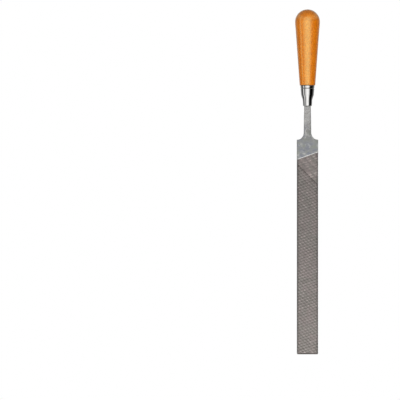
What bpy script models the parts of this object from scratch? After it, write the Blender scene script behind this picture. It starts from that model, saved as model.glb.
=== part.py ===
"""Flat hand file with a turned wooden handle, hanging handle-up as in a rack.

Three solids: the handle, turned with a spigot for the ferrule and a tapered
socket for the tang; the stepped steel ferrule; and the blade and tang, which are
one forging. The origin is on the long axis, at the ferrule's shoulder where it
rests on the edges of a rack slot. +Z runs up through the handle, -Y is the
blade's front face and X is its width. Lengths are in metres.
"""
import math

import bmesh
import bpy

MM = 0.001
MESH_GAP = 0.3 * MM

# Blade: parallel in width, thinner towards the point.
BLADE_LENGTH = 300.0 * MM
BLADE_WIDTH = 29.5 * MM
BLADE_THICKNESS = 7.0 * MM
POINT_THICKNESS = 5.6 * MM
BLADE_TOP = -59.6 * MM
BLADE_BOTTOM = BLADE_TOP - BLADE_LENGTH
PARALLEL_LENGTH = 170.0 * MM
EDGE_BREAK = 0.3 * MM
POINT_BREAK = 0.6 * MM
POINT_BEVEL_LENGTH = 1.5 * MM

# Tang: tapers in both directions from the shoulder fillets to its tip.
TANG_ROOT = -49.0 * MM
TANG_TIP = 40.0 * MM
TANG_ROOT_WIDTH = 10.1 * MM
TANG_TIP_WIDTH = 5.6 * MM
TANG_ROOT_THICKNESS = 5.6 * MM
TANG_TIP_THICKNESS = 2.4 * MM
TANG_EDGE_BREAK = 0.7 * MM
TIP_LENGTH = 1.5 * MM
TIP_SHARE = 0.6
THIN_CHAMFER_SHARE = 0.25
SHOULDER_CORNER = 1.0 * MM

# Ferrule: a wide cup on the wood, a curved shoulder and a narrow neck.
FERRULE_TOP = 15.8 * MM
FERRULE_BOTTOM = -12.6 * MM
FERRULE_WALL = 0.8 * MM
CUP_TOP_RADIUS = 9.6 * MM
CUP_BOTTOM_RADIUS = 9.0 * MM
SHOULDER_TOP = 5.0 * MM
SHOULDER_BOTTOM = -6.0 * MM
NECK_TOP_RADIUS = 6.55 * MM
NECK_BOTTOM_RADIUS = 6.2 * MM
BEAD_BOTTOM = 12.7 * MM
BEAD_RISE = 0.2 * MM
GROOVE_HEIGHT = 1.5 * MM
GROOVE_DEPTH = 0.45 * MM
LIP_RADIUS = 0.8 * MM
DIMPLE_HEIGHT = 8.5 * MM
DIMPLE_TOOL_RADIUS = 1.6 * MM
DIMPLE_DEPTH = 0.45 * MM

# Handle: domed top, cone down to the ferrule.
HANDLE_TOP = 122.5 * MM
HANDLE_BOTTOM = FERRULE_TOP + MESH_GAP
DOME_RADIUS = 17.3 * MM
CONE_TOP = 93.7 * MM
CONE_TOP_RADIUS = 16.5 * MM
CONE_BOTTOM_RADIUS = 10.9 * MM
END_ROUNDING = 0.8 * MM
SPIGOT_END = 3.8 * MM
SPIGOT_CHAMFER = 0.8 * MM
PILOT_RADIUS = 3.0 * MM
PILOT_DEPTH = 50.0 * MM
PILOT_TIP_HEIGHT = 1.8 * MM
SOCKET_CLEARANCE = 1.2 * MESH_GAP
SOCKET_CHAMFER_SHARE = 0.2
CUTTER_REACH = 1.0 * MM

HANDLE_SHARP_DEG = 35.0
FERRULE_SHARP_DEG = 40.0
BLADE_SHARP_DEG = 28.0

ROUND_SEGMENTS = 48


def clear_scene():
    for old in list(bpy.data.objects):
        bpy.data.objects.remove(old, do_unlink=True)


def make_material(name, colour, roughness, metallic):
    material = bpy.data.materials.new(name)
    material.use_nodes = True
    shader = material.node_tree.nodes["Principled BSDF"]
    shader.inputs["Base Color"].default_value = (*colour, 1.0)
    shader.inputs["Roughness"].default_value = roughness
    shader.inputs["Metallic"].default_value = metallic
    return material


def mix(start, end, share):
    return start + (end - start) * share


def arc(centre, radius, start_deg, end_deg, steps):
    """Points (r, z) on a circle, counted anticlockwise from the +r direction."""
    points = []
    for step in range(steps + 1):
        angle = math.radians(mix(start_deg, end_deg, step / steps))
        points.append((centre[0] + radius * math.cos(angle), centre[1] + radius * math.sin(angle)))
    return points


def ease(share):
    """An S-curve from 0 to 1 with level ends."""
    return 0.5 - 0.5 * math.cos(math.pi * share)


def bridge(bm, first, second):
    """Join two rings of vertices, where a ring of one vertex is a pole."""
    count = max(len(first), len(second))
    for i in range(count):
        j = (i + 1) % count
        if len(first) == 1:
            bm.faces.new((first[0], second[i], second[j]))
        elif len(second) == 1:
            bm.faces.new((first[i], second[0], first[j]))
        else:
            bm.faces.new((first[i], second[i], second[j], first[j]))


def turn(outline, closed):
    """Turn an outline of (r, z) points about Z; a closed one makes a sleeve."""
    bm = bmesh.new()
    rings = []
    for radius, height in outline:
        if radius < 1e-7:
            rings.append([bm.verts.new((0.0, 0.0, height))])
            continue
        ring = []
        for i in range(ROUND_SEGMENTS):
            angle = 2.0 * math.pi * i / ROUND_SEGMENTS
            ring.append(bm.verts.new((radius * math.cos(angle), radius * math.sin(angle), height)))
        rings.append(ring)
    for upper, lower in zip(rings, rings[1:]):
        bridge(bm, upper, lower)
    if closed:
        bridge(bm, rings[-1], rings[0])
    return bm


def loft(sections):
    """Skin a stack of equal-length sections of (x, y, z) points and cap both ends."""
    bm = bmesh.new()
    rings = []
    for section in sections:
        rings.append([bm.verts.new(point) for point in section])
    for upper, lower in zip(rings, rings[1:]):
        bridge(bm, upper, lower)
    bm.faces.new(rings[0])
    bm.faces.new(rings[-1])
    return bm


def place(name, bm, material, sharp_deg, parent=None):
    bmesh.ops.recalc_face_normals(bm, faces=bm.faces)
    mesh = bpy.data.meshes.new(name)
    bm.to_mesh(mesh)
    bm.free()
    mesh.shade_smooth()
    mesh.set_sharp_from_angle(angle=math.radians(sharp_deg))
    if material:
        mesh.materials.append(material)
    piece = bpy.data.objects.new(name, mesh)
    piece.parent = parent
    bpy.context.scene.collection.objects.link(piece)
    return piece


def cut(piece, name, bm):
    """Subtract a hidden cutter from a piece."""
    tool = place(name, bm, None, HANDLE_SHARP_DEG)
    tool.hide_render = True
    tool.display_type = "WIRE"
    boolean = piece.modifiers.new(name, "BOOLEAN")
    boolean.operation = "DIFFERENCE"
    boolean.solver = "EXACT"
    boolean.object = tool


def chamfered_section(width, thickness, chamfer, height):
    """A rectangle in X and Y with cut corners, at one height."""
    half_w = width / 2.0
    half_t = thickness / 2.0
    return [
        (half_w - chamfer, -half_t, height),
        (half_w, -half_t + chamfer, height),
        (half_w, half_t - chamfer, height),
        (half_w - chamfer, half_t, height),
        (-half_w + chamfer, half_t, height),
        (-half_w, half_t - chamfer, height),
        (-half_w, -half_t + chamfer, height),
        (-half_w + chamfer, -half_t, height),
    ]


def tang_size(height):
    """Width and thickness of the tang at a height between its root and its tip."""
    share = (height - TANG_ROOT) / (TANG_TIP - TANG_ROOT)
    width = mix(TANG_ROOT_WIDTH, TANG_TIP_WIDTH, share ** 1.5)
    thickness = mix(TANG_ROOT_THICKNESS, TANG_TIP_THICKNESS, share)
    return width, thickness


def blade_thickness(height):
    """Full thickness down the parallel length, then an even taper to the point."""
    along = BLADE_TOP - height
    taper = max(0.0, along - PARALLEL_LENGTH) / (BLADE_LENGTH - PARALLEL_LENGTH)
    return mix(BLADE_THICKNESS, POINT_THICKNESS, taper)


def tang_sections():
    """From the rounded tip down to the root, where the shoulder fillets start."""
    tip_width, tip_thickness = tang_size(TANG_TIP)
    end_width = tip_width * TIP_SHARE
    end_thickness = tip_thickness * TIP_SHARE
    sections = [chamfered_section(end_width, end_thickness, end_thickness * THIN_CHAMFER_SHARE, TANG_TIP)]
    steps = 14
    below_tip = TANG_TIP - TIP_LENGTH
    for step in range(steps + 1):
        height = mix(below_tip, TANG_ROOT, step / steps)
        width, thickness = tang_size(height)
        chamfer = min(TANG_EDGE_BREAK, thickness * THIN_CHAMFER_SHARE)
        sections.append(chamfered_section(width, thickness, chamfer, height))
    return sections


def shoulder_sections():
    """Quarter-ellipse fillets from the tang's sides out to the rounded shoulder corners."""
    sections = []
    corner_start = BLADE_WIDTH / 2.0 - SHOULDER_CORNER
    radius_x = corner_start - TANG_ROOT_WIDTH / 2.0
    radius_z = TANG_ROOT - BLADE_TOP
    steps = 12
    for step in range(1, steps + 1):
        angle = math.pi / 2.0 * step / steps
        half_width = corner_start - radius_x * math.cos(angle)
        height = TANG_ROOT - radius_z * math.sin(angle)
        share = step / steps
        thickness = mix(TANG_ROOT_THICKNESS, BLADE_THICKNESS, ease(share))
        chamfer = mix(TANG_EDGE_BREAK, EDGE_BREAK, share)
        sections.append(chamfered_section(2.0 * half_width, thickness, chamfer, height))
    corner_steps = 4
    for step in range(1, corner_steps + 1):
        angle = math.pi / 2.0 * step / corner_steps
        half_width = corner_start + SHOULDER_CORNER * math.sin(angle)
        height = BLADE_TOP - SHOULDER_CORNER * (1.0 - math.cos(angle))
        sections.append(chamfered_section(2.0 * half_width, BLADE_THICKNESS, EDGE_BREAK, height))
    return sections


def blade_sections():
    """The parallel body from below the shoulder corners to the bevelled point."""
    heights = [BLADE_TOP - PARALLEL_LENGTH, BLADE_BOTTOM + POINT_BEVEL_LENGTH]
    sections = []
    for height in heights:
        sections.append(chamfered_section(BLADE_WIDTH, blade_thickness(height), EDGE_BREAK, height))
    end_width = BLADE_WIDTH - 2.0 * POINT_BREAK
    end_thickness = POINT_THICKNESS - 2.0 * POINT_BREAK
    sections.append(chamfered_section(end_width, end_thickness, EDGE_BREAK, BLADE_BOTTOM))
    return sections


def make_blade(material):
    """The blade rides on an empty on the tang's axis, along which it is drawn out."""
    axis = bpy.data.objects.new("tang_axis", None)
    bpy.context.scene.collection.objects.link(axis)
    bm = loft(tang_sections() + shoulder_sections() + blade_sections())
    place("file_blade", bm, material, BLADE_SHARP_DEG, axis)


def ferrule_outside():
    """From the top edge down to the mouth of the neck."""
    points = []
    bead_steps = 8
    for step in range(bead_steps + 1):
        share = step / bead_steps
        swell = BEAD_RISE * math.sin(math.pi * share)
        points.append((CUP_TOP_RADIUS + swell, mix(FERRULE_TOP, BEAD_BOTTOM, share)))
    groove_steps = 6
    groove_bottom = BEAD_BOTTOM - GROOVE_HEIGHT
    for step in range(1, groove_steps + 1):
        share = step / groove_steps
        sink = GROOVE_DEPTH * math.sin(math.pi * share)
        points.append((CUP_TOP_RADIUS - sink, mix(BEAD_BOTTOM, groove_bottom, share)))
    shoulder_steps = 12
    for step in range(shoulder_steps + 1):
        share = step / shoulder_steps
        radius = mix(CUP_BOTTOM_RADIUS, NECK_TOP_RADIUS, ease(share))
        points.append((radius, mix(SHOULDER_TOP, SHOULDER_BOTTOM, share)))
    lip_centre = (NECK_BOTTOM_RADIUS - LIP_RADIUS, FERRULE_BOTTOM + LIP_RADIUS)
    points.extend(arc(lip_centre, LIP_RADIUS, 0.0, -90.0, 5))
    return points


def ferrule_inside():
    """Back up from the mouth to the top edge, one wall inside the outer surface."""
    points = [(NECK_BOTTOM_RADIUS - LIP_RADIUS, FERRULE_BOTTOM + FERRULE_WALL)]
    shoulder_steps = 8
    for step in range(shoulder_steps + 1):
        share = step / shoulder_steps
        radius = mix(NECK_TOP_RADIUS, CUP_BOTTOM_RADIUS, ease(share)) - FERRULE_WALL
        points.append((radius, mix(SHOULDER_BOTTOM, SHOULDER_TOP, share) - FERRULE_WALL / 2.0))
    points.append((CUP_TOP_RADIUS - FERRULE_WALL, FERRULE_TOP))
    return points


def make_ferrule(material):
    ferrule = place("ferrule", turn(ferrule_outside() + ferrule_inside(), True), material, FERRULE_SHARP_DEG)
    dimple = bmesh.new()
    bmesh.ops.create_icosphere(dimple, subdivisions=3, radius=DIMPLE_TOOL_RADIUS)
    share = (DIMPLE_HEIGHT - SHOULDER_TOP) / (BEAD_BOTTOM - GROOVE_HEIGHT - SHOULDER_TOP)
    surface = mix(CUP_BOTTOM_RADIUS, CUP_TOP_RADIUS, share)
    centre = (0.0, surface - DIMPLE_DEPTH + DIMPLE_TOOL_RADIUS, DIMPLE_HEIGHT)
    bmesh.ops.translate(dimple, verts=dimple.verts, vec=centre)
    cut(ferrule, "dimple_cutter", dimple)


def handle_outline():
    """From the top of the dome, down the cone and the spigot to its flat end."""
    dome_centre = (0.0, HANDLE_TOP - DOME_RADIUS)
    points = [(0.0, HANDLE_TOP)] + arc(dome_centre, DOME_RADIUS, 82.0, 0.0, 11)
    steps = 5
    drop = dome_centre[1] - CONE_TOP
    cone_slope = (CONE_TOP_RADIUS - CONE_BOTTOM_RADIUS) / (CONE_TOP - HANDLE_BOTTOM)
    for step in range(1, steps + 1):
        share = step / steps
        inward = cone_slope * drop * share * share / 2.0
        squeeze = (DOME_RADIUS - CONE_TOP_RADIUS - cone_slope * drop / 2.0) * ease(share)
        points.append((DOME_RADIUS - inward - squeeze, dome_centre[1] - drop * share))
    end_centre = (CONE_BOTTOM_RADIUS - END_ROUNDING, HANDLE_BOTTOM + END_ROUNDING)
    points.extend(arc(end_centre, END_ROUNDING, 0.0, -90.0, 4))
    spigot_top = CUP_TOP_RADIUS - FERRULE_WALL - MESH_GAP
    spigot_bottom = CUP_BOTTOM_RADIUS - FERRULE_WALL - MESH_GAP
    points.append((spigot_top, HANDLE_BOTTOM))
    points.append((spigot_bottom, SPIGOT_END + SPIGOT_CHAMFER))
    points.append((spigot_bottom - SPIGOT_CHAMFER, SPIGOT_END))
    points.append((0.0, SPIGOT_END))
    return points


def socket_tool():
    """The tang's own taper, one mesh gap larger all round and past its tip."""
    sections = []
    low = SPIGOT_END - CUTTER_REACH
    high = TANG_TIP + CUTTER_REACH
    steps = 6
    for step in range(steps + 1):
        height = mix(high, low, step / steps)
        width, thickness = tang_size(min(height, TANG_TIP))
        width += 2.0 * SOCKET_CLEARANCE
        thickness += 2.0 * SOCKET_CLEARANCE
        sections.append(chamfered_section(width, thickness, thickness * SOCKET_CHAMFER_SHARE, height))
    return loft(sections)


def make_handle(material):
    handle = place("handle", turn(handle_outline(), False), material, HANDLE_SHARP_DEG)
    cut(handle, "socket_cutter", socket_tool())
    low = SPIGOT_END - CUTTER_REACH
    high = SPIGOT_END + PILOT_DEPTH
    tip = high + PILOT_TIP_HEIGHT
    drill = [(0.0, tip), (PILOT_RADIUS, high), (PILOT_RADIUS, low), (0.0, low)]
    cut(handle, "pilot_cutter", turn(drill, False))


def main():
    clear_scene()
    lacquered_beech = make_material("lacquered_beech", (0.68, 0.27, 0.06), 0.38, 0.0)
    plated_steel = make_material("plated_steel", (0.78, 0.78, 0.77), 0.12, 1.0)
    file_steel = make_material("file_steel", (0.42, 0.41, 0.40), 0.45, 1.0)
    make_handle(lacquered_beech)
    make_ferrule(plated_steel)
    make_blade(file_steel)


main()
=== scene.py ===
"""Looks of the flat file: fine meshes and materials, studio, floor and camera.

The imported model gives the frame. Each of its three pieces is made again here as a
fine mesh of the same shape, in the same place, that stands for the piece: the
turned handle, the pressed ferrule, and the blade with real cut teeth.
"""
import math
import random

import bmesh
import bpy
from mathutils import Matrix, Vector, noise


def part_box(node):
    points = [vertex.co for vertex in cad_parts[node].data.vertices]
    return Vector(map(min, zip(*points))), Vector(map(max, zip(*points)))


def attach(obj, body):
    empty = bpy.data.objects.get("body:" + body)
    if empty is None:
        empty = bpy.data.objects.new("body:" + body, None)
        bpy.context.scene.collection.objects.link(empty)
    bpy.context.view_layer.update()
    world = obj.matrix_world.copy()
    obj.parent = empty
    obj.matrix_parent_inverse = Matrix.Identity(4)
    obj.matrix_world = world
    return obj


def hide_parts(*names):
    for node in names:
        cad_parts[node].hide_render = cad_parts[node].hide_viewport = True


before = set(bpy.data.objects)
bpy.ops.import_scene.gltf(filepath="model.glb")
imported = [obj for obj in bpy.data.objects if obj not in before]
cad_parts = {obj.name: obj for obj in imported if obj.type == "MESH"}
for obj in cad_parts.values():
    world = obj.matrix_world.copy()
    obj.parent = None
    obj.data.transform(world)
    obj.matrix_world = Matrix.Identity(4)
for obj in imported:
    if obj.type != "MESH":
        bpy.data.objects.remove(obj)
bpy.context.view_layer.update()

MM = 0.001
HANDLE_LOW, HANDLE_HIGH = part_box("handle")
FERRULE_LOW, FERRULE_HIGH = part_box("ferrule")
BLADE_LOW, BLADE_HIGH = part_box("file_blade")

# Blade and tang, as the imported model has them
BLADE_TOP = BLADE_LOW[2] + 300.0 * MM
BLADE_BOTTOM = BLADE_LOW[2]
BLADE_WIDTH = BLADE_HIGH[0] - BLADE_LOW[0]
BLADE_THICKNESS = BLADE_HIGH[1] - BLADE_LOW[1]
POINT_THICKNESS = 5.6 * MM
PARALLEL_END = BLADE_TOP - 170.0 * MM
EDGE_BREAK = 0.3 * MM
POINT_BREAK = 0.6 * MM
POINT_BEVEL_LENGTH = 1.5 * MM
TANG_TIP = BLADE_HIGH[2]
TANG_ROOT = BLADE_TOP + 10.6 * MM
TANG_ROOT_SIZE = (10.1 * MM, 5.6 * MM)
TANG_TIP_SIZE = (5.6 * MM, 2.4 * MM)
TANG_WIDTH_CURVE = 1.5
TANG_EDGE_BREAK = 0.7 * MM
TANG_CORNER_LIMIT = 0.25
TANG_END_LENGTH = 1.5 * MM
TANG_END_SHRINK = 0.6
TANG_END_CORNER = 0.2
CORNER_BULGE = 0.3
SHOULDER_CORNER = 1.0 * MM

# The forged tang's unevenness: the size of its spots, and how far they stand out
HAMMER_SPOT = 5.0 * MM
HAMMER_DEPTH = 0.09 * MM
HAMMER_SWAY = 0.07 * MM
HAMMER_OFFSET = Vector((7.0, 3.0, 1.0))

# The cut: two crossing sets of chisel strokes on each face, one set on one edge
UPCUT_ANGLE = math.radians(19.5)
OVERCUT_ANGLE = math.radians(45.0)
UPCUT_START = BLADE_TOP - 22.8 * MM
OVERCUT_START = BLADE_TOP - 48.0 * MM
UPCUT_PITCH = 1.10 * MM
OVERCUT_PITCH = 1.30 * MM
UPCUT_DEPTH = 0.42 * MM
OVERCUT_DEPTH = 0.34 * MM
STEEP_SHARE = 0.28
DEPTH_JITTER = 0.06
BURR_RISE = 0.08 * MM
BURR_WIDTH = 1.0 * MM
SINGLE_CUT_REACH = 40.0 * MM
FACE_MARGIN = 3.0 * OVERCUT_PITCH
CROWN_WIDTH = 3.2 * MM
CROWN_DROP = 0.22 * MM
CROWN_START_LINES = 12.0
EDGE_CUT_START = BLADE_TOP - 21.0 * MM
EDGE_CUT_PITCH = 0.95 * MM
EDGE_CUT_DEPTH = 0.28 * MM
EDGE_CUT_SLANT = 1.2 * MM

# What the cut's material is told: a depth that paints shade into the first groove and the point's
# end, and each tooth's painted shade and glitter as a level, the weight of slow waves over the
# blade and that of chance
PAINTED_SHADE_DEPTH = 2.0
TOOTH_WAVES = (1.85, 2.15)
DOUBLE_CUT_SHADE = (0.32, 0.18, 0.30)
SINGLE_CUT_SHADE = (0.61, 0.10, 0.20)
POINT_SHADE = 0.35

# Ferrule
FERRULE_WALL = 0.8 * MM
CUP_TOP_RADIUS = 9.6 * MM
CUP_BOTTOM_RADIUS = 9.0 * MM
SHOULDER_TOP = 5.0 * MM
SHOULDER_BOTTOM = -6.0 * MM
NECK_TOP_RADIUS = 6.55 * MM
NECK_BOTTOM_RADIUS = 6.2 * MM
TOP_EDGE_WIDTH = 0.25 * MM
TOP_EDGE_DEPTH = 0.15 * MM
BEAD_BOTTOM = 12.7 * MM
BEAD_RISE = 0.2 * MM
BEAD_FULLNESS = 0.6
GROOVE_BOTTOM = 11.2 * MM
GROOVE_DEPTH = 0.45 * MM
LIP_RADIUS = 0.8 * MM
DIMPLE_HEIGHT = 8.5 * MM
DIMPLE_RADIUS = 1.2 * MM
DIMPLE_DEPTH = 0.45 * MM
DIMPLE_SKIN = 0.2 * MM
DIMPLE_RIM_RISE = 0.05 * MM
DIMPLE_RIM_PLACE = 1.8
DIMPLE_RIM_FOCUS = 6.0

# Handle
HANDLE_TOP = HANDLE_HIGH[2]
DOME_RADIUS = HANDLE_HIGH[0]
DOME_START_DEG = 88.0
WOOD_BOTTOM = FERRULE_HIGH[2] + 0.3 * MM
CONE_TOP = 93.7 * MM
CONE_TOP_RADIUS = 16.5 * MM
CONE_BOTTOM_RADIUS = 10.9 * MM
END_ROUNDING = 0.8 * MM
SPIGOT_END = HANDLE_LOW[2]
SPIGOT_GAP = 0.3 * MM
SPIGOT_CHAMFER = 0.8 * MM
SOCKET_GAP = 0.36 * MM
SOCKET_LEDGE = 0.01 * MM
PILOT_RADIUS = 3.0 * MM
PILOT_TOP = SPIGOT_END + 50.0 * MM
PILOT_POINT = 0.6 * PILOT_RADIUS

# The order of the blade's two materials, and the seed of the cut's unevenness
GROUND_INDEX = 0
CUT_INDEX = 1
CUT_SEED = 11

# How finely the meshes are divided
HANDLE_SEGMENTS = 128
FERRULE_SEGMENTS = 144
FLOOR_SEGMENTS = 96
DOME_STEPS = 40
DOME_TO_CONE_STEPS = 16
CONE_STEPS = 24
END_STEPS = 8
SOCKET_STEPS = 6
BEAD_STEPS = 14
GROOVE_STEPS = 12
CUP_STEPS = 16
SHOULDER_STEPS = 24
INSIDE_STEPS = 16
NECK_STEPS = 8
LIP_STEPS = 10
TANG_STEPS = 60
FILLET_STEPS = 32
CORNER_STEPS = 8
SAFE_EDGE_STEPS = 60
FLAT_STEPS = 8
SIDE_STEPS = 4

# Edges bent by more than this many degrees are drawn sharp
HANDLE_SHARP_DEG = 35.0
FERRULE_SHARP_DEG = 50.0
BLADE_SHARP_DEG = 24.0

# Tolerances: a smaller radius is one vertex, closer lengths are equal, and TINY keeps
# divisors off 0
POLE_RADIUS = 1e-7
TRIM_TOLERANCE = 1e-7
CHAIN_TOLERANCE = 1e-6
TINY = 1e-9

# A blade section's points run along the front, right, back and left. After each side
# comes the middle point of a corner.
HALF_RING = FLAT_STEPS + SIDE_STEPS + 4
RING_SIDES = {
    "front": range(0, FLAT_STEPS + 1),
    "right": range(FLAT_STEPS + 2, HALF_RING - 1),
    "back": range(HALF_RING, HALF_RING + FLAT_STEPS + 1),
    "left": range(HALF_RING + FLAT_STEPS + 2, 2 * HALF_RING - 1),
}

# Camera and floor
CAMERA_LENS = 180.0
SENSOR_WIDTH = 36.0
VIEW_WIDTH = 0.5594
CAMERA_X = -0.1503
CAMERA_Z = -0.1440
CAMERA_REACH = 20.0
FLOOR_HEIGHT = BLADE_BOTTOM - 0.20
FLOOR_RADIUS = 1.20
FLOOR_FADE_START = 0.25
FLOOR_GLOW = (0.46, 0.76)

# What mirrors see of the studio: levels at angles. Angles round the vertical are counted
# from the camera's side, to the right positive, and angles up from the horizon.
AROUND = 360.0
UPRIGHT = 180.0
BAND_STOPS = [
    (-180.0, 0.40), (-150.0, 0.32), (-134.0, 0.22), (-116.0, 0.18), (-106.0, 0.04),
    (-86.0, 0.04), (-79.0, 0.74), (-70.0, 0.74), (-61.0, 0.07), (-53.0, 0.09),
    (-45.0, 0.44), (-32.0, 0.62), (-17.0, 0.90), (0.0, 1.0), (18.0, 0.90), (31.0, 0.40),
    (40.0, 0.001), (86.0, 0.001), (98.0, 0.03), (112.0, 0.10), (130.0, 0.18), (160.0, 0.40),
]
BOX_HEIGHT_STOPS = [(-85.0, 0.4), (-60.0, 1.0), (36.0, 1.0), (48.0, 0.0)]
TOP_STOPS = [(30.0, 0.0), (50.0, 0.16), (90.0, 0.12)]
ABOVE_STOPS = [(12.0, 0.0), (26.0, 0.35)]
# How far down, in right angles, the flags reach on each side
REACH_STOPS = [(-180.0, 0.28), (-28.0, 0.28), (-8.0, 0.85), (84.0, 0.85), (150.0, 0.28)]
FILL_STEEPNESS = 6.0
FILL_LEVEL = 0.36
MIRROR_STRENGTH = 1.9

# The screens that light matt surfaces, before and behind
SCREEN_FOCUS = 1.70
SCREEN_SPREAD = 0.36
SIDE_LEVEL = 0.02
UNDERSIDE_GAIN = -0.45
SCREEN_STRENGTH = 1.62


def mix(start, end, share):
    return start + (end - start) * share


def ease(share):
    """An S-curve from 0 to 1 with level ends."""
    return 0.5 - 0.5 * math.cos(math.pi * share)


def shares(steps):
    """Even shares from 0 to 1, both included."""
    return [step / steps for step in range(steps + 1)]


def arc(centre, radius, start_deg, end_deg, steps):
    """Points (r, z) on a circle, counted anticlockwise from the +r direction."""
    points = []
    for share in shares(steps):
        angle = math.radians(mix(start_deg, end_deg, share))
        r = centre[0] + radius * math.cos(angle)
        z = centre[1] + radius * math.sin(angle)
        points.append((r, z))
    return points


# ---------------------------------------------------------------- mesh helpers


def add_ring(bm, points):
    return [bm.verts.new(point) for point in points]


def bridge(bm, first, second):
    """Join two closed rings of vertices, where a ring of one vertex is a pole."""
    count = max(len(first), len(second))
    for i in range(count):
        j = (i + 1) % count
        if len(first) == 1:
            bm.faces.new((first[0], second[i], second[j]))
        elif len(second) == 1:
            bm.faces.new((first[i], second[0], first[j]))
        else:
            bm.faces.new((first[i], second[i], second[j], first[j]))


def bridge_all(bm, rings):
    for first, second in zip(rings, rings[1:]):
        bridge(bm, first, second)


def zip_chains(bm, first, second, measure):
    """Fill between two open chains that run the same way, in order of one measure."""
    faces = []
    i = 0
    j = 0
    while i < len(first) - 1 or j < len(second) - 1:
        step_first = j == len(second) - 1
        if not step_first and i < len(first) - 1:
            step_first = measure(first[i + 1]) <= measure(second[j + 1])
        if step_first:
            faces.append(bm.faces.new((first[i], second[j], first[i + 1])))
            i += 1
        else:
            faces.append(bm.faces.new((first[i], second[j], second[j + 1])))
            j += 1
    return faces


def along_x(vertex):
    return vertex.co.x


def along_y(vertex):
    return vertex.co.y


def down_z(vertex):
    return -vertex.co.z


def turned_ring(radius, height, segments):
    if radius < POLE_RADIUS:
        return [(0.0, 0.0, height)]
    ring = []
    for i in range(segments):
        angle = 2.0 * math.pi * i / segments
        ring.append((radius * math.cos(angle), radius * math.sin(angle), height))
    return ring


def finish_piece(name, bm, materials, sharp_deg, body, node):
    """Turn a bmesh into a piece that rides on a body and stands for a node."""
    bmesh.ops.recalc_face_normals(bm, faces=bm.faces)
    mesh = bpy.data.meshes.new(name)
    bm.to_mesh(mesh)
    bm.free()
    mesh.shade_smooth()
    mesh.set_sharp_from_angle(angle=math.radians(sharp_deg))
    for material in materials:
        mesh.materials.append(material)
    piece = bpy.data.objects.new(name, mesh)
    bpy.context.scene.collection.objects.link(piece)
    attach(piece, body)
    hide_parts(node)


# ---------------------------------------------------------------- handle


def handle_outline():
    """From the top of the dome, down the cone and the spigot to its flat end."""
    dome_centre = (0.0, HANDLE_TOP - DOME_RADIUS)
    points = [(0.0, HANDLE_TOP)]
    points += arc(dome_centre, DOME_RADIUS, DOME_START_DEG, 0.0, DOME_STEPS)
    drop = dome_centre[1] - CONE_TOP
    cone_slope = (CONE_TOP_RADIUS - CONE_BOTTOM_RADIUS) / (CONE_TOP - WOOD_BOTTOM)
    for share in shares(DOME_TO_CONE_STEPS)[1:]:
        inward = cone_slope * drop * share * share / 2.0
        squeeze = (DOME_RADIUS - CONE_TOP_RADIUS - cone_slope * drop / 2.0) * ease(share)
        points.append((DOME_RADIUS - inward - squeeze, dome_centre[1] - drop * share))
    end_centre = (CONE_BOTTOM_RADIUS - END_ROUNDING, WOOD_BOTTOM + END_ROUNDING)
    for share in shares(CONE_STEPS)[1:-1]:
        radius = mix(CONE_TOP_RADIUS, CONE_BOTTOM_RADIUS, share)
        points.append((radius, mix(CONE_TOP, end_centre[1], share)))
    points += arc(end_centre, END_ROUNDING, 0.0, -90.0, END_STEPS)
    spigot_top = CUP_TOP_RADIUS - FERRULE_WALL - SPIGOT_GAP
    spigot_bottom = CUP_BOTTOM_RADIUS - FERRULE_WALL - SPIGOT_GAP
    points.append((spigot_top, WOOD_BOTTOM))
    points.append((spigot_bottom, SPIGOT_END + SPIGOT_CHAMFER))
    points.append((spigot_bottom - SPIGOT_CHAMFER, SPIGOT_END))
    return points


def socket_ring(height):
    """The tang's slot and the drilled pilot bore, as one outline."""
    width, thickness = tang_size(min(height, TANG_TIP))
    half_width = width / 2.0 + SOCKET_GAP
    half_thickness = thickness / 2.0 + SOCKET_GAP
    if height > TANG_TIP + SOCKET_GAP:
        half_width = 0.0
        half_thickness = 0.0
    ring = []
    for i in range(HANDLE_SEGMENTS):
        angle = 2.0 * math.pi * i / HANDLE_SEGMENTS
        across = abs(math.cos(angle)) + TINY
        through = abs(math.sin(angle)) + TINY
        reach = max(PILOT_RADIUS, min(half_width / across, half_thickness / through))
        ring.append((reach * math.cos(angle), reach * math.sin(angle), height))
    return ring


def make_handle(material):
    bm = bmesh.new()
    rings = [add_ring(bm, turned_ring(r, z, HANDLE_SEGMENTS)) for r, z in handle_outline()]
    socket_top = TANG_TIP + SOCKET_GAP
    heights = [mix(SPIGOT_END, socket_top, share) for share in shares(SOCKET_STEPS)]
    heights += [socket_top + SOCKET_LEDGE, PILOT_TOP]
    rings += [add_ring(bm, socket_ring(height)) for height in heights]
    rings.append(add_ring(bm, [(0.0, 0.0, PILOT_TOP + PILOT_POINT)]))
    bridge_all(bm, rings)
    finish_piece(
        "handle_turned", bm, [material], HANDLE_SHARP_DEG,
        "handle_assembly", "handle",
    )


# ---------------------------------------------------------------- ferrule


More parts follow.
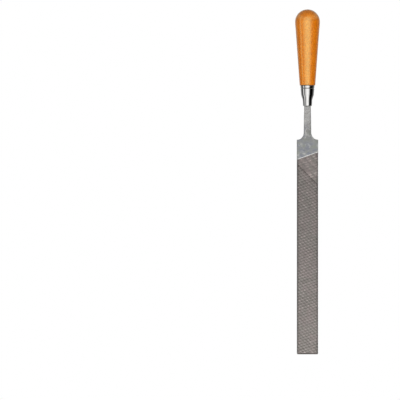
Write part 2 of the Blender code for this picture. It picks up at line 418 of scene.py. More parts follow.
def ferrule_outside():
    """From the top edge down to the mouth of the neck."""
    points = [(CUP_TOP_RADIUS - TOP_EDGE_WIDTH, FERRULE_HIGH[2])]
    for share in shares(BEAD_STEPS):
        swell = BEAD_RISE * math.sin(math.pi * share) ** BEAD_FULLNESS
        height = mix(FERRULE_HIGH[2] - TOP_EDGE_DEPTH, BEAD_BOTTOM, share)
        points.append((CUP_TOP_RADIUS + swell, height))
    for share in shares(GROOVE_STEPS)[1:]:
        sink = GROOVE_DEPTH * math.sin(math.pi * share) ** 2
        points.append((CUP_TOP_RADIUS - sink, mix(BEAD_BOTTOM, GROOVE_BOTTOM, share)))
    for share in shares(CUP_STEPS)[1:-1]:
        radius = mix(CUP_TOP_RADIUS, CUP_BOTTOM_RADIUS, share)
        points.append((radius, mix(GROOVE_BOTTOM, SHOULDER_TOP, share)))
    for share in shares(SHOULDER_STEPS):
        radius = mix(CUP_BOTTOM_RADIUS, NECK_TOP_RADIUS, ease(share))
        points.append((radius, mix(SHOULDER_TOP, SHOULDER_BOTTOM, share)))
    lip_centre = (NECK_BOTTOM_RADIUS - LIP_RADIUS, FERRULE_LOW[2] + LIP_RADIUS)
    for share in shares(NECK_STEPS)[1:-1]:
        radius = mix(NECK_TOP_RADIUS, NECK_BOTTOM_RADIUS, share)
        points.append((radius, mix(SHOULDER_BOTTOM, lip_centre[1], share)))
    return points + arc(lip_centre, LIP_RADIUS, 0.0, -90.0, LIP_STEPS)


def ferrule_inside():
    """Back up from the mouth to the top edge, one wall inside the outer surface."""
    mouth = NECK_BOTTOM_RADIUS - LIP_RADIUS
    points = [(mouth, FERRULE_LOW[2] + FERRULE_WALL)]
    for share in shares(INSIDE_STEPS):
        radius = mix(NECK_TOP_RADIUS, CUP_BOTTOM_RADIUS, ease(share)) - FERRULE_WALL
        height = mix(SHOULDER_BOTTOM, SHOULDER_TOP, share) - FERRULE_WALL / 2.0
        points.append((radius, height))
    points.append((CUP_TOP_RADIUS - FERRULE_WALL, FERRULE_HIGH[2]))
    return points


def punch_dimple(bm):
    """Press in the mark of the punch that fixes the ferrule, on the back of its cup."""
    for vertex in bm.verts:
        x, y, z = vertex.co
        radius = math.hypot(x, y)
        if y < 0.0 or radius < CUP_BOTTOM_RADIUS - DIMPLE_SKIN:
            continue
        distance = math.hypot(x, z - DIMPLE_HEIGHT) / DIMPLE_RADIUS
        from_rim = distance - DIMPLE_RIM_PLACE
        rim = DIMPLE_RIM_RISE * math.exp(-(from_rim ** 2) * DIMPLE_RIM_FOCUS)
        sink = DIMPLE_DEPTH * math.exp(-distance ** 2) - rim
        vertex.co.x = x * (radius - sink) / radius
        vertex.co.y = y * (radius - sink) / radius


def make_ferrule(material):
    bm = bmesh.new()
    outline = ferrule_outside() + ferrule_inside()
    rings = [add_ring(bm, turned_ring(r, z, FERRULE_SEGMENTS)) for r, z in outline]
    bridge_all(bm, rings + [rings[0]])
    punch_dimple(bm)
    finish_piece(
        "ferrule_pressed", bm, [material], FERRULE_SHARP_DEG,
        "handle_assembly", "ferrule",
    )


# ---------------------------------------------------------------- blade


def tang_size(height):
    """Width and thickness of the tang at a height between its root and its tip."""
    share = max(0.0, (height - TANG_ROOT) / (TANG_TIP - TANG_ROOT))
    width = mix(TANG_ROOT_SIZE[0], TANG_TIP_SIZE[0], share ** TANG_WIDTH_CURVE)
    thickness = mix(TANG_ROOT_SIZE[1], TANG_TIP_SIZE[1], share)
    return width, thickness


def blade_thickness(height):
    """Full thickness down the parallel length, then an even taper to the point."""
    taper = max(0.0, PARALLEL_END - height) / (PARALLEL_END - BLADE_BOTTOM)
    return mix(BLADE_THICKNESS, POINT_THICKNESS, taper)


def section(width, thickness, corner, height):
    """A rectangle with broken corners, anticlockwise from above; see RING_SIDES."""
    half_w = width / 2.0
    half_t = thickness / 2.0
    bulge = corner * CORNER_BULGE
    half_ring = []
    for share in shares(FLAT_STEPS):
        half_ring.append((mix(-half_w + corner, half_w - corner, share), -half_t))
    half_ring.append((half_w - bulge, -half_t + bulge))
    for share in shares(SIDE_STEPS):
        half_ring.append((half_w, mix(-half_t + corner, half_t - corner, share)))
    half_ring.append((half_w - bulge, half_t - bulge))
    ring = half_ring + [(-x, -y) for x, y in half_ring]
    return [(x, y, height) for x, y in ring]


def tang_sections():
    """From the rounded tip down to the root, where the shoulder fillets start."""
    width, thickness = tang_size(TANG_TIP)
    end_width, end_thickness = width * TANG_END_SHRINK, thickness * TANG_END_SHRINK
    sections = [section(end_width, end_thickness, thickness * TANG_END_CORNER, TANG_TIP)]
    for share in shares(TANG_STEPS):
        height = mix(TANG_TIP - TANG_END_LENGTH, TANG_ROOT, share)
        width, thickness = tang_size(height)
        corner = min(TANG_EDGE_BREAK, thickness * TANG_CORNER_LIMIT)
        sections.append(section(width, thickness, corner, height))
    return sections


def shoulder_sections():
    """Quarter-ellipse fillets from the tang's sides out to the rounded shoulder corners."""
    sections = []
    corner_start = BLADE_WIDTH / 2.0 - SHOULDER_CORNER
    radius_x = corner_start - TANG_ROOT_SIZE[0] / 2.0
    radius_z = TANG_ROOT - BLADE_TOP
    for share in shares(FILLET_STEPS)[1:]:
        angle = math.pi / 2.0 * share
        half_width = corner_start - radius_x * math.cos(angle)
        height = TANG_ROOT - radius_z * math.sin(angle)
        thickness = mix(TANG_ROOT_SIZE[1], BLADE_THICKNESS, ease(share))
        corner = mix(TANG_EDGE_BREAK, EDGE_BREAK, share)
        sections.append(section(2.0 * half_width, thickness, corner, height))
    for share in shares(CORNER_STEPS)[1:]:
        angle = math.pi / 2.0 * share
        half_width = corner_start + SHOULDER_CORNER * math.sin(angle)
        height = BLADE_TOP - SHOULDER_CORNER * (1.0 - math.cos(angle))
        sections.append(section(2.0 * half_width, BLADE_THICKNESS, EDGE_BREAK, height))
    return sections


def hammer(bm):
    """The slight unevenness of a forged and roughly ground tang."""
    for vertex in bm.verts:
        above = (vertex.co.z - BLADE_TOP) / (TANG_ROOT - BLADE_TOP)
        if above <= 0.0:
            continue
        share = min(1.0, above)
        spot = vertex.co / HAMMER_SPOT
        vertex.co.y += HAMMER_DEPTH * share * noise.noise(spot)
        vertex.co.x += HAMMER_SWAY * share * noise.noise(spot + HAMMER_OFFSET)


def stroke_lines(start, end, pitch, depth, rng):
    """Heights of crests and groove bottoms from a start line down to an end."""
    lines = [(start, -BURR_RISE)]
    place = start
    while place > end:
        scatter = 1.0 + rng.uniform(-1.0, 1.0) * DEPTH_JITTER
        lines.append((place - STEEP_SHARE * pitch, depth * scatter))
        place -= pitch
        lines.append((place, 0.0))
    return lines


def crossing(up, over):
    """The point (s, z) of a face where an upcut line meets an overcut line."""
    spread = math.sin(UPCUT_ANGLE + OVERCUT_ANGLE)
    s = (over * math.cos(UPCUT_ANGLE) - up * math.cos(OVERCUT_ANGLE)) / spread
    z = (over * math.sin(UPCUT_ANGLE) + up * math.sin(OVERCUT_ANGLE)) / spread
    return s, z


def tooth_shade(tooth, single_cut, rng):
    """How light a tooth is, as painted shade and glitter, the way tilted facets would catch the
    light. In the single cut a second draw takes the first one's place.
    """
    waves = math.cos(tooth[0] * TOOTH_WAVES[0]) + math.cos(tooth[1] * TOOTH_WAVES[1])
    chance = rng.random()
    level, waviness, scatter = DOUBLE_CUT_SHADE
    if single_cut:
        chance = rng.random()
        level, waviness, scatter = SINGLE_CUT_SHADE
    return level + waviness * waves + scatter * chance


def cut_face(bm, side, layers, rng):
    """One double-cut face, larger than the blade, as a lattice of the two sets of strokes.

    side is 1 for the front and -1 for the back, which is the front turned about Z.
    """
    depth_layer, edge_layer, shade_layer = layers
    up_start = UPCUT_START * math.cos(UPCUT_ANGLE)
    over_start = OVERCUT_START * math.cos(OVERCUT_ANGLE)
    lowest = BLADE_BOTTOM - BLADE_WIDTH
    up_lines = [(up_start + BURR_WIDTH, 0.0)]
    up_lines += stroke_lines(up_start, lowest, UPCUT_PITCH, UPCUT_DEPTH, rng)
    over_lines = []
    place = over_start + SINGLE_CUT_REACH
    while place > over_start + OVERCUT_PITCH:
        over_lines.append((place, 0.0))
        place -= OVERCUT_PITCH
    over_first = len(over_lines)
    over_lines += stroke_lines(over_start, lowest, OVERCUT_PITCH, OVERCUT_DEPTH, rng)
    half = BLADE_WIDTH / 2.0
    corners = {}
    shades = {}

    def corner(i, j):
        if (i, j) not in corners:
            s, z = crossing(up_lines[i][0], over_lines[j][0])
            depth = max(up_lines[i][1], over_lines[j][1])
            # The first two upcut lines are the burr's foot on the heel and its crest
            if i < 2:
                depth = up_lines[i][1]
            elif j == over_first and up_lines[i][1] < OVERCUT_DEPTH:
                depth = -BURR_RISE
            edge = max(0.0, abs(s) - (half - CROWN_WIDTH)) / CROWN_WIDTH
            below = depth + CROWN_DROP * edge * edge * min(1.0, i / CROWN_START_LINES)
            y = -blade_thickness(z) / 2.0 + below
            vertex = bm.verts.new((side * s, side * y, z))
            # A depth below 0 marks a burr, and the materials paint a highlight along it
            vertex[depth_layer] = depth / UPCUT_DEPTH
            # Painted shade: the first groove below the overcut's start is marked to be drawn dark
            if j == over_first + 1 and i > 1:
                vertex[depth_layer] = PAINTED_SHADE_DEPTH
            # near_edge goes to the material, which paints shade on the cut towards the edges
            vertex[edge_layer] = edge
            corners[i, j] = vertex
        return corners[i, j]

    for i in range(len(up_lines) - 1):
        for j in range(len(over_lines) - 1):
            tooth = (i // 2, j // 2)
            if tooth not in shades:
                shades[tooth] = tooth_shade(tooth, j < over_first, rng)
            upper_s, upper_z = crossing(up_lines[i][0], over_lines[j][0])
            lower_s, lower_z = crossing(up_lines[i + 1][0], over_lines[j + 1][0])
            beside = abs((upper_s + lower_s) / 2.0) > half + FACE_MARGIN
            beyond = max(upper_z, lower_z) < BLADE_BOTTOM - FACE_MARGIN
            if beside or beyond:
                continue
            quad = (corner(i, j), corner(i, j + 1), corner(i + 1, j + 1), corner(i + 1, j))
            for triangle in ((quad[0], quad[1], quad[2]), (quad[0], quad[2], quad[3])):
                face = bm.faces.new(triangle)
                face.material_index = GROUND_INDEX if i == 0 else CUT_INDEX
                face[shade_layer] = shades[tooth]


def trim(bm, place, normal):
    """Cut off what lies beyond a plane."""
    geometry = bm.verts[:] + bm.edges[:] + bm.faces[:]
    bmesh.ops.bisect_plane(
        bm, geom=geometry, dist=TRIM_TOLERANCE, plane_co=place, plane_no=normal, clear_outer=True
    )


def boundary_chains(bm, side):
    """The trimmed face's four sides as sorted chains; left and right are seen from the front."""
    half = BLADE_WIDTH / 2.0 - EDGE_BREAK
    foot = BLADE_BOTTOM + POINT_BEVEL_LENGTH
    head = UPCUT_START * math.cos(UPCUT_ANGLE) + BURR_WIDTH
    chains = {"left": [], "right": [], "foot": [], "head": []}
    for vertex in bm.verts:
        if vertex.co.y * side > 0.0:
            continue
        x, z = vertex.co.x, vertex.co.z
        up = z * math.cos(UPCUT_ANGLE) - side * x * math.sin(UPCUT_ANGLE)
        distances = {"left": x + half, "right": x - half, "foot": z - foot, "head": up - head}
        for name, distance in distances.items():
            if abs(distance) < CHAIN_TOLERANCE:
                chains[name].append(vertex)
    chains["left"].sort(key=down_z)
    chains["right"].sort(key=down_z)
    chains["foot"].sort(key=along_x)
    chains["head"].sort(key=along_x)
    return chains


def cut_edge_lines():
    """Heights at front and back, and depth, of the single-cut edge's slanted strokes."""
    foot = BLADE_BOTTOM + POINT_BEVEL_LENGTH
    lean = EDGE_CUT_SLANT / 2.0
    lines = []
    place = EDGE_CUT_START
    while place - EDGE_CUT_PITCH - EDGE_CUT_SLANT > foot:
        lines.append((place, 0.0))
        lines.append((place - STEEP_SHARE * EDGE_CUT_PITCH, EDGE_CUT_DEPTH))
        place -= EDGE_CUT_PITCH
    return [(z + lean, z - lean, depth) for z, depth in lines] + [(foot, foot, 0.0)]


def safe_edge_lines():
    """Evenly spaced stations down the uncut edge."""
    foot = BLADE_BOTTOM + POINT_BEVEL_LENGTH
    heights = [mix(EDGE_CUT_START, foot, share) for share in shares(SAFE_EDGE_STEPS)]
    return [(height, height, 0.0) for height in heights]


def make_edge(bm, side, lines, ring, depth_layer):
    """One narrow edge from the heel ring down; returns its front and back chains and its foot."""
    front_chain = [ring[0]]
    back_chain = [ring[-1]]
    previous = ring
    for front_z, back_z, depth in lines:
        row = []
        for share in shares(SIDE_STEPS):
            x = side * (BLADE_WIDTH / 2.0 - depth)
            z = mix(front_z, back_z, share)
            half_t = blade_thickness(z) / 2.0 - EDGE_BREAK
            vertex = bm.verts.new((x, mix(-half_t, half_t, share), z))
            vertex[depth_layer] = depth / UPCUT_DEPTH
            row.append(vertex)
        for i in range(SIDE_STEPS):
            face = bm.faces.new((previous[i], previous[i + 1], row[i + 1], row[i]))
            if side > 0 and previous is not ring:
                face.material_index = CUT_INDEX
        front_chain.append(row[0])
        back_chain.append(row[-1])
        previous = row
    return front_chain, back_chain, previous


def close_point(bm, front, back, right_foot, left_foot, depth_layer, shade_layer):
    """The bevel round the square point and the flat end face."""
    end_w = BLADE_WIDTH / 2.0 - POINT_BREAK
    end_t = POINT_THICKNESS / 2.0 - POINT_BREAK
    inner_w = end_w - EDGE_BREAK
    inner_t = end_t - EDGE_BREAK
    outline = [
        (-inner_w, -end_t), (inner_w, -end_t), (end_w, -inner_t), (end_w, inner_t),
        (inner_w, end_t), (-inner_w, end_t), (-end_w, inner_t), (-end_w, -inner_t),
    ]
    end = [bm.verts.new((x, y, BLADE_BOTTOM)) for x, y in outline]
    # Painted shade: the end's vertices darken the point's bevels towards the end
    for vertex in end:
        vertex[depth_layer] = PAINTED_SHADE_DEPTH
    bm.faces.new(end)
    bevels = zip_chains(bm, front["foot"], [end[0], end[1]], along_x)
    bevels += zip_chains(bm, back["foot"], [end[5], end[4]], along_x)
    for face in bevels:
        face.material_index = CUT_INDEX
        face[shade_layer] = POINT_SHADE
    zip_chains(bm, right_foot, [end[2], end[3]], along_y)
    zip_chains(bm, left_foot, [end[7], end[6]], along_y)
    bm.faces.new((front["foot"][-1], right_foot[0], end[2], end[1]))
    bm.faces.new((back["foot"][-1], right_foot[-1], end[3], end[4]))
    bm.faces.new((front["foot"][0], left_foot[0], end[7], end[0]))
    bm.faces.new((back["foot"][0], left_foot[-1], end[6], end[5]))


def make_blade(materials):
    rng = random.Random(CUT_SEED)
    bm = bmesh.new()
    depth_layer = bm.verts.layers.float.new("cut_depth")
    edge_layer = bm.verts.layers.float.new("near_edge")
    shade_layer = bm.faces.layers.float.new("tooth_shade")
    cut_face(bm, 1, (depth_layer, edge_layer, shade_layer), rng)
    cut_face(bm, -1, (depth_layer, edge_layer, shade_layer), rng)
    half = BLADE_WIDTH / 2.0 - EDGE_BREAK
    trim(bm, (half, 0.0, 0.0), (1.0, 0.0, 0.0))
    trim(bm, (-half, 0.0, 0.0), (-1.0, 0.0, 0.0))
    trim(bm, (0.0, 0.0, BLADE_BOTTOM + POINT_BEVEL_LENGTH), (0.0, 0.0, -1.0))
    front = boundary_chains(bm, 1)
    back = boundary_chains(bm, -1)

    rings = [add_ring(bm, points) for points in tang_sections() + shoulder_sections()]
    bridge_all(bm, rings)
    bm.faces.new(rings[0])
    heel = rings[-1]
    heel_sides = {name: [heel[i] for i in places] for name, places in RING_SIDES.items()}
    heel_front = heel_sides["front"]
    heel_right = heel_sides["right"]
    heel_back = heel_sides["back"][::-1]
    heel_left = heel_sides["left"][::-1]

    right_front, right_back, right_foot = make_edge(
        bm, 1, cut_edge_lines(), heel_right, depth_layer
    )
    left_front, left_back, left_foot = make_edge(
        bm, -1, safe_edge_lines(), heel_left, depth_layer
    )
    for heel_side, chains, right, left in (
        (heel_front, front, right_front, left_front),
        (heel_back, back, right_back, left_back),
    ):
        zip_chains(bm, heel_side, chains["head"], along_x)
        zip_chains(bm, [heel_side[-1]] + chains["right"], right, down_z)
        zip_chains(bm, [heel_side[0]] + chains["left"], left, down_z)
    for places in RING_SIDES.values():
        middle = places[-1] + 1
        bm.faces.new((heel[middle - 1], heel[middle], heel[(middle + 1) % len(heel)]))
    close_point(bm, front, back, right_foot, left_foot, depth_layer, shade_layer)
    hammer(bm)
    finish_piece(
        "blade_cut", bm, materials, BLADE_SHARP_DEG,
        "blade", "file_blade",
    )


# ---------------------------------------------------------------- materials


class Shader:
    """A material's node tree, built a node at a time in object coordinates, in millimetres."""

    def __init__(self, name):
        self.material = bpy.data.materials.new(name)
        self.material.use_nodes = True
        self.tree = self.material.node_tree
        self.surface = self.tree.nodes["Principled BSDF"]
        where = self.tree.nodes.new("ShaderNodeTexCoord").outputs["Object"]
        self.place = self.scaled(where, 1.0 / MM)

    def feed(self, socket, value):
        if isinstance(value, bpy.types.NodeSocket):
            self.tree.links.new(value, socket)
        else:
            socket.default_value = value

    def node(self, kind, settings, inputs):
        made = self.tree.nodes.new(kind)
        for key, value in settings.items():
            setattr(made, key, value)
        for key, value in inputs.items():
            self.feed(made.inputs[key], value)
        return made

    def math(self, operation, first, second=0.0):
        made = self.node("ShaderNodeMath", {"operation": operation}, {0: first, 1: second})
        return made.outputs[0]

    def scaled(self, vector, factor):
        inputs = {0: vector, "Scale": factor}
        return self.node("ShaderNodeVectorMath", {"operation": "SCALE"}, inputs).outputs[0]

    def length(self, vector):
        made = self.node("ShaderNodeVectorMath", {"operation": "LENGTH"}, {0: vector})
        return made.outputs["Value"]

    def height(self):
        return self.node("ShaderNodeSeparateXYZ", {}, {0: self.place}).outputs["Z"]

    def attribute(self, name):
        return self.node("ShaderNodeAttribute", {"attribute_name": name}, {}).outputs["Fac"]

    def stretched(self, x, y, z, turn_deg=0.0):
        """The place, scaled per axis, after a turn about Y that slants lines on the faces."""
        turned = self.node(
            "ShaderNodeVectorRotate",
            {"rotation_type": "Y_AXIS"},
            {"Vector": self.place, "Angle": math.radians(turn_deg)},
        ).outputs[0]
        inputs = {"Vector": turned, "Scale": (x, y, z)}
        return self.node("ShaderNodeMapping", {}, inputs).outputs[0]

    def noise(self, vector, detail=2.0, roughness=0.5):
        inputs = {"Vector": vector, "Scale": 1.0, "Detail": detail, "Roughness": roughness}
        return self.node("ShaderNodeTexNoise", {}, inputs).outputs[0]

    def remap(self, value, low, high, out_low=0.0, out_high=1.0):
        inputs = {
            "Value": value,
            "From Min": low, "From Max": high,
            "To Min": out_low, "To Max": out_high,
        }
        return self.node("ShaderNodeMapRange", {}, inputs).outputs[0]

    def blend(self, share, first, second):
        """Two colours mixed. Sockets 6 and 7 are the node's colours A and B."""
        made = self.node("ShaderNodeMix", {"data_type": "RGBA"}, {0: share})
        self.feed(made.inputs[6], first)
        self.feed(made.inputs[7], second)
        return made.outputs[2]

    def bump(self, height, strength, distance, normal=None):
        inputs = {"Height": height, "Strength": strength, "Distance": distance}
        if normal:
            inputs["Normal"] = normal
        return self.node("ShaderNodeBump", {}, inputs).outputs[0]

    def set(self, **values):
        for key, value in values.items():
            self.feed(self.surface.inputs[key.replace("_", " ")], value)


def rgb(red, green, blue):
    return (red, green, blue, 1.0)


def beech_material():
    """Orange-stained beech under satin lacquer: faint rings, fine fibres, short ray flecks."""
    early_wood, late_wood = rgb(0.84, 0.226, 0.0025), rgb(0.71, 0.172, 0.0020)
    fibre_colour = rgb(0.50, 0.112, 0.0035)
    blotch_colour = rgb(0.86, 0.26, 0.010)
    mottle_colour = rgb(0.56, 0.118, 0.0020)
    fleck_colour = rgb(0.28, 0.060, 0.003)
    # End grain, darkened past its own colour into painted shade at the joint with the ferrule
    end_grain_and_shade_colour = rgb(0.14, 0.035, 0.004)
    pith_place = (62.0, 35.0, 0.0)
    rings_per_mm = 0.42
    ring_sway_mm = 6.0

    wood = Shader("lacquered_beech_fine")
    sway = wood.noise(wood.stretched(0.05, 0.05, 0.012), detail=1.0)
    drift = wood.scaled(sway, ring_sway_mm)
    bent = wood.node("ShaderNodeVectorMath", {"operation": "ADD"}, {0: wood.place, 1: drift})
    pith_inputs = {"Vector": bent.outputs[0], "Location": pith_place, "Scale": (1.0, 1.0, 0.02)}
    from_pith = wood.length(wood.node("ShaderNodeMapping", {}, pith_inputs).outputs[0])
    ring = wood.math("FRACT", wood.math("MULTIPLY", from_pith, rings_per_mm))
    ring = wood.remap(ring, 0.45, 1.0)
    fibre = wood.noise(wood.stretched(1.7, 1.7, 0.16), detail=3.0, roughness=0.6)
    mottle = wood.noise(wood.stretched(0.55, 0.55, 0.36), detail=3.0, roughness=0.6)
    blotch = wood.noise(wood.stretched(0.11, 0.11, 0.06), detail=2.0)
    fleck_inputs = {"Vector": wood.stretched(1.0, 1.0, 0.34), "Scale": 1.0}
    flecks = wood.node("ShaderNodeTexVoronoi", {}, fleck_inputs)
    fleck = wood.remap(flecks.outputs["Distance"], 0.12, 0.30, 1.0, 0.0)
    chosen = wood.node("ShaderNodeSeparateColor", {}, {0: flecks.outputs["Color"]}).outputs[0]
    fleck = wood.math("MULTIPLY", fleck, wood.remap(chosen, 0.45, 0.55))

    colour = wood.blend(wood.math("MULTIPLY", ring, 0.5), early_wood, late_wood)
    colour = wood.blend(wood.remap(fibre, 0.38, 0.66, 0.0, 0.75), colour, fibre_colour)
    colour = wood.blend(wood.remap(blotch, 0.40, 0.65, 0.0, 0.4), colour, blotch_colour)
    colour = wood.blend(wood.remap(mottle, 0.45, 0.62, 0.0, 0.6), colour, mottle_colour)
    colour = wood.blend(wood.math("MULTIPLY", fleck, 0.7), colour, fleck_colour)
    # Darker at the wood's bottom end: its end grain, and painted shade where it meets the ferrule
    bottom = WOOD_BOTTOM / MM
    end_grain_and_shade = wood.remap(wood.height(), bottom + 0.9, bottom + 0.2, 0.0, 0.7)
    colour = wood.blend(end_grain_and_shade, colour, end_grain_and_shade_colour)

    grain_bump = wood.bump(fibre, 0.12, 0.05 * MM)
    orange_peel = wood.noise(wood.stretched(0.5, 0.5, 0.5), detail=2.0)
    coat_bump = wood.bump(orange_peel, 0.25, 0.06 * MM, grain_bump)
    roughness = wood.remap(fibre, 0.3, 0.7, 0.21, 0.30)
    wood.set(Base_Color=colour, Roughness=roughness, Normal=coat_bump)
    wood.set(IOR=1.7, Specular_IOR_Level=0.92, Specular_Tint=rgb(0.52, 1.0, 0.50))
    return wood.material


def plated_material():
    """Bright plating over drawn sheet: nearly a mirror, with faint drawing lines."""
    bright, dulled = rgb(0.53, 0.525, 0.515), rgb(0.47, 0.465, 0.455)
    speck_colour = rgb(0.42, 0.40, 0.37)
    # The colour of the painted shade in the groove and against the wood
    painted_shade_colour = rgb(0.09, 0.08, 0.07)
    groove_middle = (GROOVE_BOTTOM + BEAD_BOTTOM) / 2.0 / MM

    plate = Shader("plated_steel_fine")
    lines = plate.noise(plate.stretched(3.0, 3.0, 0.06), detail=2.0)
    smudge = plate.noise(plate.stretched(0.35, 0.35, 0.25), detail=3.0)
    speck = plate.noise(plate.stretched(2.2, 2.2, 2.2), detail=2.0)
    colour = plate.blend(plate.remap(smudge, 0.4, 0.7), bright, dulled)
    colour = plate.blend(plate.remap(speck, 0.68, 0.76, 0.0, 0.6), colour, speck_colour)

    # Painted shade darkens the groove and the band against the wood, above the bead
    height = plate.height()
    from_groove = plate.math("ABSOLUTE", plate.math("SUBTRACT", height, groove_middle))
    in_groove = plate.remap(from_groove, 0.75, 0.35)
    by_wood = plate.remap(height, 15.2, 15.6)
    painted_shade = plate.math("MULTIPLY", plate.math("MAXIMUM", in_groove, by_wood), 0.7)
    colour = plate.blend(painted_shade, colour, painted_shade_colour)

    smudged = plate.remap(smudge, 0.35, 0.7, 0.02, 0.05)
    roughness = plate.math("ADD", smudged, plate.remap(lines, 0.4, 0.7, 0.0, 0.02))
    ripple = plate.bump(lines, 0.10, 0.02 * MM)
    dents = plate.bump(smudge, 0.2, 0.05 * MM, ripple)
    plate.set(Base_Color=colour, Metallic=1.0, Roughness=roughness, Normal=dents)
    return plate.material


def ground_material():
    """Heel and tang: a cross-ground, mottled heel; a barer tang with dull patches of scale."""
    light, dark = rgb(0.215, 0.220, 0.220), rgb(0.18, 0.185, 0.185)
    blotch_colour = rgb(0.330, 0.330, 0.318)
    blue = rgb(0.165, 0.172, 0.196)
    olive = rgb(0.190, 0.200, 0.178)
    bare = rgb(0.45, 0.445, 0.432)
    # A painted highlight for the burr line at the start of the cut
    burr_painted_highlight = rgb(0.62, 0.62, 0.61)
    scale_colour = rgb(0.165, 0.156, 0.150)
    tang_start, tang_full = BLADE_TOP / MM - 6.0, TANG_ROOT / MM + 4.0
    bare_start, bare_full = -50.0, -34.0

    steel = Shader("file_steel_ground")
    height = steel.height()
    tang = steel.remap(height, tang_start, tang_full)
    across = steel.noise(steel.stretched(0.10, 0.10, 5.0, 8.0), detail=3.0, roughness=0.6)
    lengthways = steel.noise(steel.stretched(3.5, 3.5, 0.10), detail=3.0, roughness=0.6)
    marks = steel.node("ShaderNodeMix", {}, {0: tang, 2: across, 3: lengthways}).outputs[0]
    blotch = steel.noise(steel.stretched(0.22, 0.22, 0.16), detail=4.0, roughness=0.55)
    scale = steel.noise(steel.stretched(0.9, 0.9, 0.5), detail=3.0)
    tint = steel.noise(steel.stretched(0.16, 0.16, 0.20), detail=3.0)
    burr = steel.attribute("cut_depth")

    colour = steel.blend(steel.remap(marks, 0.3, 0.7), light, dark)
    colour = steel.blend(steel.remap(blotch, 0.48, 0.62), colour, blotch_colour)
    colour = steel.blend(steel.remap(tint, 0.50, 0.62, 0.0, 0.9), colour, blue)
    colour = steel.blend(steel.remap(tint, 0.46, 0.34, 0.0, 0.8), colour, olive)
    bareness = steel.remap(height, bare_start, bare_full)
    bareness = steel.math("MULTIPLY", bareness, steel.remap(scale, 0.36, 0.60, 0.35, 1.0))
    colour = steel.blend(bareness, colour, bare)
    # Painted highlight: the burr line along the heel is lightened
    colour = steel.blend(steel.remap(burr, 0.0, -0.15), colour, burr_painted_highlight)
    dull = steel.math("MULTIPLY", tang, steel.remap(scale, 0.42, 0.62, 0.0, 0.8))
    colour = steel.blend(dull, colour, scale_colour)

    roughness = steel.remap(marks, 0.3, 0.7, 0.36, 0.50)
    roughness = steel.math("ADD", roughness, steel.math("MULTIPLY", dull, 0.12))
    grind = steel.bump(marks, 0.30, 0.03 * MM)
    pitting = steel.bump(blotch, 0.2, 0.05 * MM, grind)
    steel.set(Base_Color=colour, Metallic=1.0, Roughness=roughness, Normal=pitting)
    return steel.material


def toothed_material():
    """The cut: brighter worn crests, and browner, duller groove bottoms."""
    warm_crest, dim_crest = rgb(0.525, 0.465, 0.455), rgb(0.43, 0.392, 0.386)
    green_crest = rgb(0.42, 0.412, 0.388)
    groove_light, groove_dark = rgb(0.27, 0.240, 0.225), rgb(0.19, 0.172, 0.160)
    lift_start, lift_full = -150.0, -330.0

    steel = Shader("file_steel_cut")
    depth = steel.attribute("cut_depth")
    shade = steel.attribute("tooth_shade")
    edge = steel.attribute("near_edge")
    blotch = steel.noise(steel.stretched(0.16, 0.16, 0.09), detail=3.0)
    grit = steel.noise(steel.stretched(1.3, 1.3, 1.3), detail=3.0)
    hue = steel.noise(steel.stretched(0.14, 0.14, 0.10, 40.0), detail=2.0)

    crest = steel.blend(steel.remap(blotch, 0.4, 0.65), warm_crest, dim_crest)
    crest = steel.blend(steel.remap(hue, 0.45, 0.58), crest, green_crest)
    groove = steel.blend(steel.remap(grit, 0.4, 0.65), groove_light, groove_dark)
    colour = steel.blend(steel.remap(depth, 0.1, 0.9), crest, groove)

    # The level: each tooth's painted shade and glitter, with painted glints on the lightest
    # teeth, then painted shade at the edges, a painted highlight on the burr, painted shade in
    # the first groove and at the point's end, and a lift towards the point
    level = steel.remap(shade, 0.0, 1.0, 0.55, 1.45)
    # Painted glints: extra light on the lightest teeth
    level = steel.math("ADD", level, steel.remap(shade, 0.80, 0.95, 0.0, 0.5))
    for factor in (
        steel.remap(edge, 0.0, 0.7, 1.0, 0.62),
        steel.remap(depth, 0.0, -0.15, 1.0, 1.6),
        steel.remap(depth, 1.0, 1.9, 1.0, 0.5),
        steel.remap(steel.height(), lift_start, lift_full, 1.0, 1.22),
    ):
        level = steel.math("MULTIPLY", level, factor)
    colour = steel.scaled(colour, level)
    roughness = steel.remap(depth, 0.0, 1.0, 0.38, 0.62)
    grain = steel.bump(grit, 0.3, 0.03 * MM)
    steel.set(Base_Color=colour, Metallic=1.0, Roughness=roughness, Normal=grain)
    return steel.material


def floor_material():
    """Pale studio paper that glows enough to run into the white surround."""
    paper = Shader("studio_floor")
    fibre = paper.noise(paper.stretched(0.02, 0.02, 0.02), detail=4.0)
    colour = paper.blend(fibre, rgb(0.86, 0.86, 0.86), rgb(0.90, 0.90, 0.90))
    rim = FLOOR_RADIUS / MM
    glow = paper.remap(paper.length(paper.place), FLOOR_FADE_START * rim, rim, *FLOOR_GLOW)
    paper.set(Base_Color=colour, Roughness=0.9)
    paper.set(Emission_Color=rgb(1.0, 1.0, 1.0), Emission_Strength=glow)
    return paper.material


# ---------------------------------------------------------------- studio


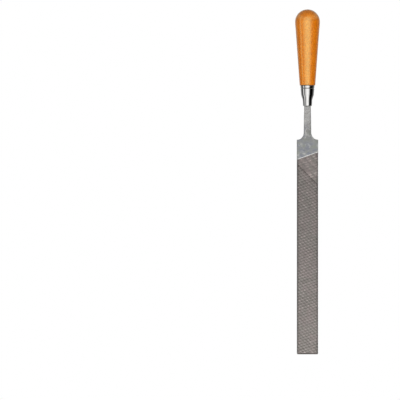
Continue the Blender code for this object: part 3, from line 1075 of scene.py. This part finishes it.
def make_world():
    """A white surround to the camera, and two kinds of light to the file.

    Mirrors see a big softbox behind the camera and dark flags beside it. Matt surfaces
    are lit by two big screens, before and behind, and dimly from the sides.
    """
    world = bpy.data.worlds.new("studio")
    bpy.context.scene.world = world
    world.use_nodes = True
    tree = world.node_tree
    nodes, links = tree.nodes, tree.links

    def calculate(operation, first, second=0.0, third=0.0):
        made = nodes.new("ShaderNodeMath")
        made.operation = operation
        for socket, value in zip(made.inputs, (first, second, third)):
            if isinstance(value, bpy.types.NodeSocket):
                links.new(value, socket)
            else:
                socket.default_value = value
        return made.outputs[0]

    def ramp(value, span, stops, interpolation):
        """A level by angle, where the value 0 to 1 stands for the span, centred on 0 degrees."""
        made = nodes.new("ShaderNodeValToRGB")
        made.color_ramp.interpolation = interpolation
        elements = made.color_ramp.elements
        while len(elements) < len(stops):
            elements.new(0.5)
        for element, (angle, level) in zip(elements, stops):
            element.position = angle / span + 0.5
            element.color = (level, level, level, 1.0)
        links.new(value, made.inputs[0])
        return made.outputs[0]

    def choose(test, otherwise, chosen):
        made = nodes.new("ShaderNodeMixShader")
        links.new(test, made.inputs[0])
        links.new(otherwise.outputs[0], made.inputs[1])
        links.new(chosen.outputs[0], made.inputs[2])
        return made

    direction = nodes.new("ShaderNodeSeparateXYZ")
    links.new(nodes.new("ShaderNodeTexCoord").outputs["Generated"], direction.inputs[0])
    x, y, z = direction.outputs
    azimuth = calculate("ARCTAN2", x, calculate("MULTIPLY", y, -1.0))
    around = calculate("MULTIPLY_ADD", azimuth, 0.5 / math.pi, 0.5)
    upright = calculate("MULTIPLY_ADD", calculate("ARCSINE", z), 1.0 / math.pi, 0.5)

    bands = ramp(around, AROUND, BAND_STOPS, "LINEAR")
    box_height = ramp(upright, UPRIGHT, BOX_HEIGHT_STOPS, "EASE")
    top = ramp(upright, UPRIGHT, TOP_STOPS, "EASE")

    # Below and above the flags is a dim fill
    reach = ramp(around, AROUND, REACH_STOPS, "LINEAR")
    depth = calculate("MULTIPLY", calculate("ARCSINE", z), -2.0 / math.pi)
    below = calculate("MULTIPLY", calculate("SUBTRACT", depth, reach), FILL_STEEPNESS)
    below = calculate("MINIMUM", calculate("MAXIMUM", below, 0.0), 1.0)
    below = calculate("MULTIPLY", below, FILL_LEVEL)
    above = ramp(upright, UPRIGHT, ABOVE_STOPS, "EASE")
    bands = calculate("MAXIMUM", bands, calculate("MAXIMUM", below, above))

    mirrored = nodes["Background"]
    level = calculate("ADD", calculate("MULTIPLY", bands, box_height), top)
    links.new(level, mirrored.inputs["Color"])
    mirrored.inputs["Strength"].default_value = MIRROR_STRENGTH

    square = calculate("MULTIPLY", y, y)
    screens = calculate("MULTIPLY_ADD", square, SCREEN_FOCUS, SCREEN_SPREAD)
    screens = calculate("MULTIPLY_ADD", square, screens, SIDE_LEVEL)
    tilt = calculate("MULTIPLY_ADD", z, UNDERSIDE_GAIN, 1.0)
    lighting = nodes.new("ShaderNodeBackground")
    links.new(calculate("MULTIPLY", screens, tilt), lighting.inputs["Color"])
    lighting.inputs["Strength"].default_value = SCREEN_STRENGTH

    white = nodes.new("ShaderNodeBackground")
    white.inputs["Color"].default_value = (1.0, 1.0, 1.0, 1.0)
    path = nodes.new("ShaderNodeLightPath")
    unseen = choose(path.outputs["Is Diffuse Ray"], mirrored, lighting)
    surround = choose(path.outputs["Is Camera Ray"], unseen, white)
    links.new(surround.outputs[0], nodes["World Output"].inputs["Surface"])


def make_floor():
    bm = bmesh.new()
    bmesh.ops.create_circle(bm, cap_ends=True, segments=FLOOR_SEGMENTS, radius=FLOOR_RADIUS)
    mesh = bpy.data.meshes.new("studio_floor")
    bm.to_mesh(mesh)
    bm.free()
    mesh.materials.append(floor_material())
    floor = bpy.data.objects.new("studio_floor", mesh)
    floor.location.z = FLOOR_HEIGHT
    # Reflections see the studio's fill below the file, not the floor
    floor.visible_glossy = False
    bpy.context.scene.collection.objects.link(floor)


def make_camera():
    """Square to the file's face, with the file right of the middle as in the photo."""
    data = bpy.data.cameras.new("camera")
    data.lens = CAMERA_LENS
    data.sensor_width = SENSOR_WIDTH
    data.clip_end = CAMERA_REACH
    camera = bpy.data.objects.new("camera", data)
    camera.location = (CAMERA_X, -VIEW_WIDTH * CAMERA_LENS / SENSOR_WIDTH, CAMERA_Z)
    camera.rotation_euler = (math.pi / 2.0, 0.0, 0.0)
    bpy.context.scene.collection.objects.link(camera)
    bpy.context.scene.camera = camera


make_camera()
make_world()
make_floor()
make_handle(beech_material())
make_ferrule(plated_material())
make_blade([ground_material(), toothed_material()])
bpy.context.scene.view_settings.view_transform = "Standard"
